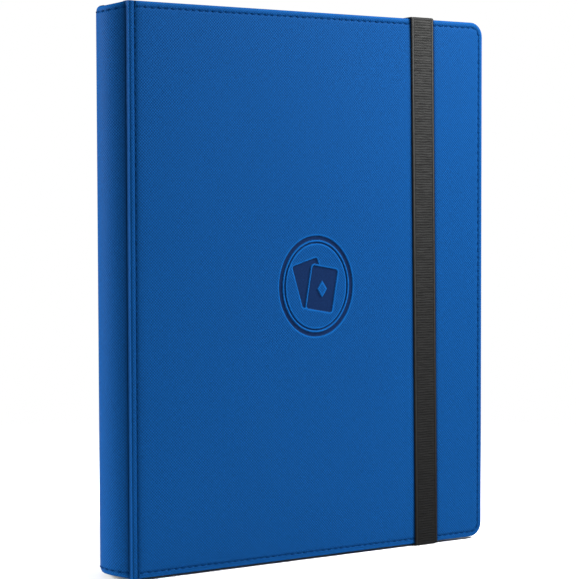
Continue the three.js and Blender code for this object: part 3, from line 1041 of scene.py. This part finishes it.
def cover_seams(side, sizes):
    """The seams of one cover: its border outside and inside, and the row beside the hinge."""
    seam_inset = sizes.stitch_inset / MM
    proud = 0.12
    xs = spaced(STITCH_START, WIDTH - CORNER, 3.0)
    zs = spaced(CORNER, HEIGHT - CORNER, 4.0)
    ring = free_edges(seam_inset, xs, zs)
    face = cover_face(sizes, side == "front")
    outside = face(ring[:, 0], ring[:, 1], np.full(len(ring), seam_inset)) + proud
    inside = np.full(len(ring), INSIDE + 0.18 - proud)
    hinge_z = spaced(6, HEIGHT - 6, 6.0)
    hinge = np.stack([np.full_like(hinge_z, GROOVE_X), np.full_like(hinge_z, HALF - GROOVE_DEPTH + 0.05),
                      hinge_z], 1)
    return seam_lines(f"{side}_cover_stitching", [
        (np.stack([ring[:, 0], outside, ring[:, 1]], 1), (0, 1, 0)),
        (np.stack([ring[:, 0], inside, ring[:, 1]], 1), (0, -1, 0)),
        (hinge, (0, 1, 0)),
    ], side)


def spine_seams(sizes):
    """The seam across each end of the spine."""
    seam_inset = sizes.stitch_inset / MM
    radius = SPINE_R - sizes.seam_depth / MM + 0.12
    angles = np.linspace(-SPINE_ANGLE * 0.93, SPINE_ANGLE * 0.93, 40)
    facing = np.stack([-np.cos(angles), np.sin(angles), np.zeros_like(angles)], 1)
    lines = []
    for z in (seam_inset, HEIGHT - seam_inset):
        line = np.stack([SPINE_X - radius * np.cos(angles), radius * np.sin(angles),
                         spine_height(z, angles)], 1)
        lines.append((line, facing))
    return seam_lines("spine_stitching", lines)


# ---------------------------------------------------------------- elastic band

def band_mesh(name, route, sizes):
    """A length of band along a route in y and z, closed all round, ready for its ribs."""
    step = sizes.rib_pitch / MM / 6
    route = np.array(route, float)
    lengths = np.concatenate([[0], np.cumsum(np.linalg.norm(np.diff(route, axis=0), axis=1))])
    stops = spaced(0, lengths[-1], step)
    path = np.stack([np.interp(stops, lengths, route[:, 0]), np.interp(stops, lengths, route[:, 1])], 1)
    heading = np.gradient(path, axis=0)
    heading /= np.linalg.norm(heading, axis=1)[:, None]
    normal = np.stack([-heading[:, 1], heading[:, 0]], 1)
    side = merged(spaced(-0.8, 0.8, 0.1), [0.83, 0.85, 0.87, 0.89, 0.91, 0.94, 0.985],
                  [-0.83, -0.85, -0.87, -0.89, -0.91, -0.94, -0.985])
    back = np.array([0.985, 0.5, 0, -0.5, -0.985])
    across = np.concatenate([side, [1.0, 1.0], back, [-1.0, -1.0]])
    lift = np.concatenate([np.full(len(side), 0.5), [0.25, -0.25], np.full(len(back), -0.5), [-0.25, 0.25]])
    on_face = np.concatenate([np.ones(len(side)), np.zeros(len(back) + 4)])
    thick = BAND_THICKNESS - 0.25
    rows, plans = [], []
    for (y, z), (ny, nz), stop in zip(path, normal, stops):
        rows.append(np.stack([band_middle(z, y) + across * BAND_HALF_WIDTH, y + lift * thick * ny,
                              z + lift * thick * nz], 1))
        plans.append(np.stack([across * BAND_HALF_WIDTH, np.full(len(across), stop)], 1))
    count = len(across)
    outward = np.stack([np.zeros(len(path)), normal[:, 0], normal[:, 1]], 1)
    return make_piece(name, np.concatenate(rows), woven_rows(len(rows), count), np.concatenate(plans), {
        "along": np.repeat(stops * MM, count), "across": np.tile(across, len(path)),
        "face": np.tile(on_face, len(path))}, outward=np.repeat(outward, count, axis=0))


def band_routes():
    """The band's routes in y and z, its face on the left of its heading."""
    middle = BAND_FACE - BAND_THICKNESS / 2
    top, bottom = BAND_TOP - BAND_THICKNESS / 2, -(BAND_TOP - HEIGHT) + BAND_THICKNESS / 2
    bend = 1.1
    turn = np.linspace(0, math.pi / 2, 9)
    upper = [(-middle + bend * (1 - math.cos(a)), top - bend * (1 - math.sin(a))) for a in turn]
    lower = [(y, bottom + top - z) for y, z in reversed(upper)]
    tail = (BAND_TAIL[0] + BAND_TAIL[1]) / 2
    drop = 0.9
    over = [(tail - drop + drop * math.sin(a), top - drop * (1 - math.cos(a))) for a in turn]
    end = HEIGHT - 0.3
    under = [(y, bottom + top - z) for y, z in over]
    tail_end = HEIGHT - 0.2 - BAND_TAIL_LENGTH
    return {
        "band_front_run": [*lower, *upper],
        "band_top_run": [(-middle + bend, top), *over, (tail, end)],
        "band_bottom_run": [(-middle + bend, bottom), *under, (tail, HEIGHT - end)][::-1],
        "band_top_tail": [(tail, end), (tail, tail_end)],
        "band_bottom_tail": [(tail, HEIGHT - tail_end), (tail, HEIGHT - end)],
    }


# ---------------------------------------------------------------- leaves

def leaf_rows():
    """Pocket rectangles of a leaf, from the CAD leaf's size: three columns of three."""
    low, high = (book(corner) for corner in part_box(LEAVES[0]))
    tab, weld = 10.0, 2.75     # bare tab at the root, and the weld beside a pocket
    width = (high[0] - low[0] - tab - weld * 3.5) / 3 + 0.5
    height = (high[2] - low[2] - 4 * weld) / 3
    pockets = []
    for column in range(3):
        x0 = low[0] + tab + weld / 2 + column * (width + weld)
        for row in range(3):
            z0 = low[2] + weld + row * (height + weld)
            pockets.append((x0, min(x0 + width, high[0] - 1.4), z0, z0 + height))
    return low, high, pockets


def leaf_middle(name):
    low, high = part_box(name)
    return book((low + high) / 2)[1]


def leaf_sheet(name, low, high, pockets):
    """The backing sheet of one leaf, with its round fore-edge corners and weld lines."""
    y = leaf_middle(name)
    radius, half = 5.0, 0.125
    xs = merged([low[0]], *[np.array([p[0], p[1]]) for p in pockets], [high[0] - radius])
    zs = merged([low[2] + radius], *[np.array([p[2], p[3]]) for p in pockets], [high[2] - radius])
    zs = zs[(zs >= low[2] + radius) & (zs <= high[2] - radius)]
    arc = np.linspace(-math.pi / 2, 0, 7)
    outline = [(x, low[2]) for x in xs[:-1]]
    outline += [(high[0] - radius + radius * math.cos(a), low[2] + radius + radius * math.sin(a))
                for a in arc]
    outline += [(high[0], z) for z in zs[1:-1]]
    outline += [(x, low[2] + high[2] - z) for x, z in reversed(outline[len(xs) - 1:len(xs) + 6])]
    outline += [(x, high[2]) for x in xs[-2::-1]]
    outline = np.array(outline)
    centre = np.array([(low[0] + high[0]) / 2, (low[2] + high[2]) / 2])
    ring = []
    for inset, lift in ((0.06, half), (0.0, half - 0.05), (0.0, 0.05 - half), (0.06, -half)):
        flat = centre + (outline - centre) * (1 - inset / 117.0)
        ring.append(np.stack([flat[:, 0], np.full(len(flat), y + lift), flat[:, 1]], 1))
    points = np.concatenate(ring)
    return make_piece(f"{name}_sheet", points, woven_rows(4, len(outline)), points[:, [0, 2]],
                      {"weld": np.ones(len(points))})


def leaf_pockets(name, pockets):
    """Clear pocket films on both faces of one leaf, each open along its spine side."""
    y = leaf_middle(name)
    columns, rows = 9, 11
    count = columns * rows
    grid_u, grid_v = (g.ravel() for g in np.meshgrid(np.linspace(0, 1, columns), np.linspace(0, 1, rows)))
    puff = 0.16 * (np.minimum(1, 6 * (1 - grid_u)) * np.minimum(1, 7 * np.minimum(grid_v, 1 - grid_v)))
    points, faces, plans = [], [], []
    rim = [*range(columns), *range(2 * columns - 1, count, columns),
           *range(count - 2, count - columns - 1, -1), *range(count - 2 * columns, 0, -columns)]
    for sign in (-1, 1):
        for x0, x1, z0, z1 in pockets:
            start = len(points)
            x, z = x0 + (x1 - x0) * grid_u, z0 + (z1 - z0) * grid_v
            top = y + sign * (0.2 + puff)
            points += list(np.stack([x, top, z], 1))
            base = len(points)
            points += [(x[i], y + sign * 0.15, z[i]) for i in rim]
            plans += [(x[i], z[i]) for i in [*range(count), *rim]]
            faces += woven_rows(rows, columns, closed=False, caps=False, start=start)
            for i in range(len(rim)):
                j = (i + 1) % len(rim)
                faces.append((start + rim[i], start + rim[j], base + j, base + i))
            faces.append(tuple(base + i for i in range(len(rim))))
    return make_piece(f"{name}_pockets", points, faces, np.array(plans))


# ---------------------------------------------------------------- operators

def settle(piece, material, body=None, node=None):
    """A piece's material, the node it replaces and its body."""
    if material:
        piece.data.materials.append(material)
    if node:
        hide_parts(node)
    if body:
        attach(piece, body)


class BINDER_OT_stage(Operator):
    """Make the camera, the pale floor and the soft studio lights"""

    bl_idname = "binder.stage"
    bl_label = "Stage"

    def execute(self, context):
        scene = context.scene
        stage = scene.binder_stage
        low, high = (Vector(corner) for corner in CAD_BOX)
        aim = (low + high) / 2 + Vector(stage.aim)
        self.make_camera(scene, stage, aim)
        self.make_floor(scene, low.z)
        self.make_lights(scene, stage, aim)
        self.make_surroundings(scene, stage)
        scene.view_settings.view_transform = "Standard"
        return {"FINISHED"}

    def make_camera(self, scene, stage, aim):
        flat = math.cos(stage.elevation)
        back = Vector((math.sin(stage.azimuth) * flat, -math.cos(stage.azimuth) * flat,
                       math.sin(stage.elevation)))
        data = bpy.data.cameras.new("camera")
        data.lens = stage.lens
        data.sensor_width = 36.0
        camera = bpy.data.objects.new("camera", data)
        turn = (-back).to_track_quat("-Z", "Y").to_matrix() @ Matrix.Rotation(stage.roll, 3, "Z")
        camera.matrix_world = Matrix.Translation(aim + back * stage.distance) @ turn.to_4x4()
        scene.collection.objects.link(camera)
        scene.camera = camera

    def make_floor(self, scene, level):
        mesh = bpy.data.meshes.new("studio_floor")
        shape = bmesh.new()
        bmesh.ops.create_circle(shape, cap_ends=True, segments=128, radius=0.9)
        bmesh.ops.translate(shape, verts=shape.verts, vec=(0, 0, level - 0.0004))
        shape.to_mesh(mesh)
        shape.free()
        mesh.materials.append(finish(studio_paper, scene))
        floor = bpy.data.objects.new("studio_floor", mesh)
        scene.collection.objects.link(floor)

    def make_lights(self, scene, stage, aim):
        """Round lights: power, diameter and place from the point the camera looks at."""
        lights = {
            "key_light": (stage.key, 0.45, Vector((0.42, -0.40, 0.46))),
            "top_light": (stage.top, 1.6, Vector((0.35, 0.1, 2.2))),
            "rim_light": (stage.rim, 0.7, Vector((-1.15, 0.97, 0.3))),
            "side_light": (stage.side, 1.0, Vector((-1.45, -0.42, 0.35))),
        }
        for name, (energy, size, place) in lights.items():
            data = bpy.data.lights.new(name, "AREA")
            data.energy = energy
            data.shape = "DISK"
            data.size = size
            light = bpy.data.objects.new(name, data)
            light.location = aim + place
            light.rotation_euler = (-place).to_track_quat("-Z", "Y").to_euler()
            light.visible_camera = False
            scene.collection.objects.link(light)

    def make_surroundings(self, scene, stage):
        """White behind the binder, and a weaker white as the light that surrounds it."""
        world = bpy.data.worlds.new("studio")
        world.use_nodes = True
        graph = Graph(world.node_tree)
        seen = graph.add("ShaderNodeLightPath", {}, {}, "Is Camera Ray")
        soft, white = (graph.add("ShaderNodeBackground", {}, {"Color": (1, 1, 1, 1), "Strength": strength})
                       for strength in (stage.fill, 1.0))
        shown = graph.add("ShaderNodeMixShader", {}, {0: seen, 1: soft, 2: white})
        graph.add("ShaderNodeOutputWorld", {}, {"Surface": shown})
        scene.world = world


class BINDER_OT_spine(Operator):
    """Make the rounded leather spine with its board and lining"""

    bl_idname = "binder.spine"
    bl_label = "Spine"

    def execute(self, context):
        scene = context.scene
        leather = spine_leather(scene.binder_sizes)
        settle(leather, finish(woven_leather, scene), "spine", "spine_skin")
        board = spine_inside("spine_inner_board", "spine_board", BOARD_THICKNESS)
        settle(board, finish(pressed_board, scene), "spine", "spine_board")
        lining = spine_inside("spine_inner_lining", "spine_lining", SPINE_LINING_THICKNESS)
        settle(lining, finish(lining_twill, scene), "spine", "spine_lining")
        return {"FINISHED"}


class BINDER_OT_hinges(Operator):
    """Make the two soft hinges between the spine and the covers"""

    bl_idname = "binder.hinges"
    bl_label = "Hinges"

    def execute(self, context):
        scene = context.scene
        for side, turn in FACING.items():
            piece = hinge_leather(side, scene.binder_sizes)
            settle(piece, finish(woven_leather, scene), node=f"{side}_hinge_strip")
            face_inner_side(piece, side, finish(lining_twill, scene))
            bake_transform(piece)
        return {"FINISHED"}


class BINDER_OT_covers(Operator):
    """Make the leather of the two padded covers"""

    bl_idname = "binder.covers"
    bl_label = "Cover leather"

    def execute(self, context):
        for side in FACING:
            piece = cover_leather(side, context.scene.binder_sizes)
            settle(piece, finish(woven_leather, context.scene), f"{side}_cover",
                   f"{side}_cover_skin")
        return {"FINISHED"}


class BINDER_OT_paddings(Operator):
    """Make the foam sheets under the leather"""

    bl_idname = "binder.paddings"
    bl_label = "Foam padding"

    def execute(self, context):
        for side in FACING:
            piece = padding_foam(side)
            settle(piece, finish(foam_cells, context.scene), f"{side}_cover",
                   f"{side}_cover_padding")
        return {"FINISHED"}


class BINDER_OT_linings(Operator):
    """Make the lining cloth inside the covers"""

    bl_idname = "binder.linings"
    bl_label = "Lining cloth"

    def execute(self, context):
        for side in FACING:
            piece = lining_cloth(side, context.scene.binder_sizes)
            settle(piece, finish(lining_twill, context.scene), f"{side}_cover",
                   f"{side}_cover_lining")
        return {"FINISHED"}


class BINDER_OT_boards(Operator):
    """Finish the cover boards and the strip that grips the leaves"""

    bl_idname = "binder.boards"
    bl_label = "Boards and binding"

    def execute(self, context):
        finishes = {"front_cover_board": pressed_board, "back_cover_board": pressed_board,
                    "leaf_binding_strip": drawn_strip}
        for name, make in finishes.items():
            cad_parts[name].material_slots[0].material = finish(make, context.scene)
        return {"FINISHED"}


class BINDER_OT_stitching(Operator):
    """Sew the seams of the covers and the spine"""

    bl_idname = "binder.stitching"
    bl_label = "Stitching"

    def execute(self, context):
        sizes = context.scene.binder_sizes
        thread = finish(sewing_thread, context.scene)
        tree = stitch_tree()
        rows = {"front_cover": cover_seams("front", sizes), "back_cover": cover_seams("back", sizes),
                "spine": spine_seams(sizes)}
        for number, (body, piece) in enumerate(rows.items()):
            grow(piece, tree, {
                "Pitch": sizes.stitch_pitch, "Length": sizes.stitch_length, "Width": sizes.stitch_width,
                "Wander": math.radians(5), "Seed": sizes.seed + 10 * number, "Material": thread})
            settle(piece, None, body)
        return {"FINISHED"}


class BINDER_OT_band(Operator):
    """Make the ribbed elastic band"""

    bl_idname = "binder.band"
    bl_label = "Elastic band"

    def execute(self, context):
        sizes = context.scene.binder_sizes
        elastic = finish(ribbed_elastic, context.scene)
        tree = band_tree()
        for number, (name, route) in enumerate(band_routes().items()):
            piece = band_mesh(name, route, sizes)
            grow(piece, tree, {
                "Rib Pitch": sizes.rib_pitch, "Rib Height": sizes.rib_height, "Unevenness": 0.9,
                "Selvedge Height": 0.00014, "Seed": sizes.seed + number, "Material": elastic})
            in_front = name == "band_front_run"
            settle(piece, None, "strap" if in_front else "back_cover",
                   name.replace("band", "strap"))
            if name.endswith("_run") and not in_front:
                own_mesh(piece)
        return {"FINISHED"}


class BINDER_OT_leaves(Operator):
    """Make the bound leaves with their clear pockets"""

    bl_idname = "binder.leaves"
    bl_label = "Pocket leaves"

    def execute(self, context):
        low, high, pockets = leaf_rows()
        for name in LEAVES:
            sheet = leaf_sheet(name, low, high, pockets)
            settle(sheet, finish(backing_sheet, context.scene), name, name)
            films = leaf_pockets(name, pockets)
            settle(films, finish(clear_film, context.scene), name)
        return {"FINISHED"}


class BINDER_PT_panel(Panel):
    """The binder's sizes, colours and makers"""

    bl_label = "Card binder"
    bl_idname = "BINDER_PT_panel"
    bl_space_type = "VIEW_3D"
    bl_region_type = "UI"
    bl_category = "Binder"

    def draw(self, context):
        layout = self.layout
        for group in (context.scene.binder_sizes, context.scene.binder_colours, context.scene.binder_stage):
            column = layout.box().column()
            for name in group.__annotations__:
                column.prop(group, name)
        column = layout.column()
        for operator in OPERATORS:
            column.operator(operator.bl_idname)


GROUPS = {"binder_sizes": BinderSizes, "binder_colours": BinderColours, "binder_stage": BinderStage}
OPERATORS = (BINDER_OT_stage, BINDER_OT_spine, BINDER_OT_hinges, BINDER_OT_covers, BINDER_OT_paddings,
             BINDER_OT_linings, BINDER_OT_boards, BINDER_OT_stitching, BINDER_OT_band, BINDER_OT_leaves)
CLASSES = (*GROUPS.values(), *OPERATORS, BINDER_PT_panel)


def register():
    for cls in CLASSES:
        bpy.utils.register_class(cls)
    for name, group in GROUPS.items():
        setattr(bpy.types.Scene, name, PointerProperty(type=group))


def unregister():
    for name in GROUPS:
        delattr(bpy.types.Scene, name)
    for cls in reversed(CLASSES):
        bpy.utils.unregister_class(cls)


def main():
    """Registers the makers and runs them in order."""
    register()
    bpy.ops.binder.stage()
    bpy.ops.binder.spine()
    bpy.ops.binder.hinges()
    bpy.ops.binder.covers()
    bpy.ops.binder.paddings()
    bpy.ops.binder.linings()
    bpy.ops.binder.boards()
    bpy.ops.binder.stitching()
    bpy.ops.binder.band()
    bpy.ops.binder.leaves()


if __name__ == "__main__":
    main()
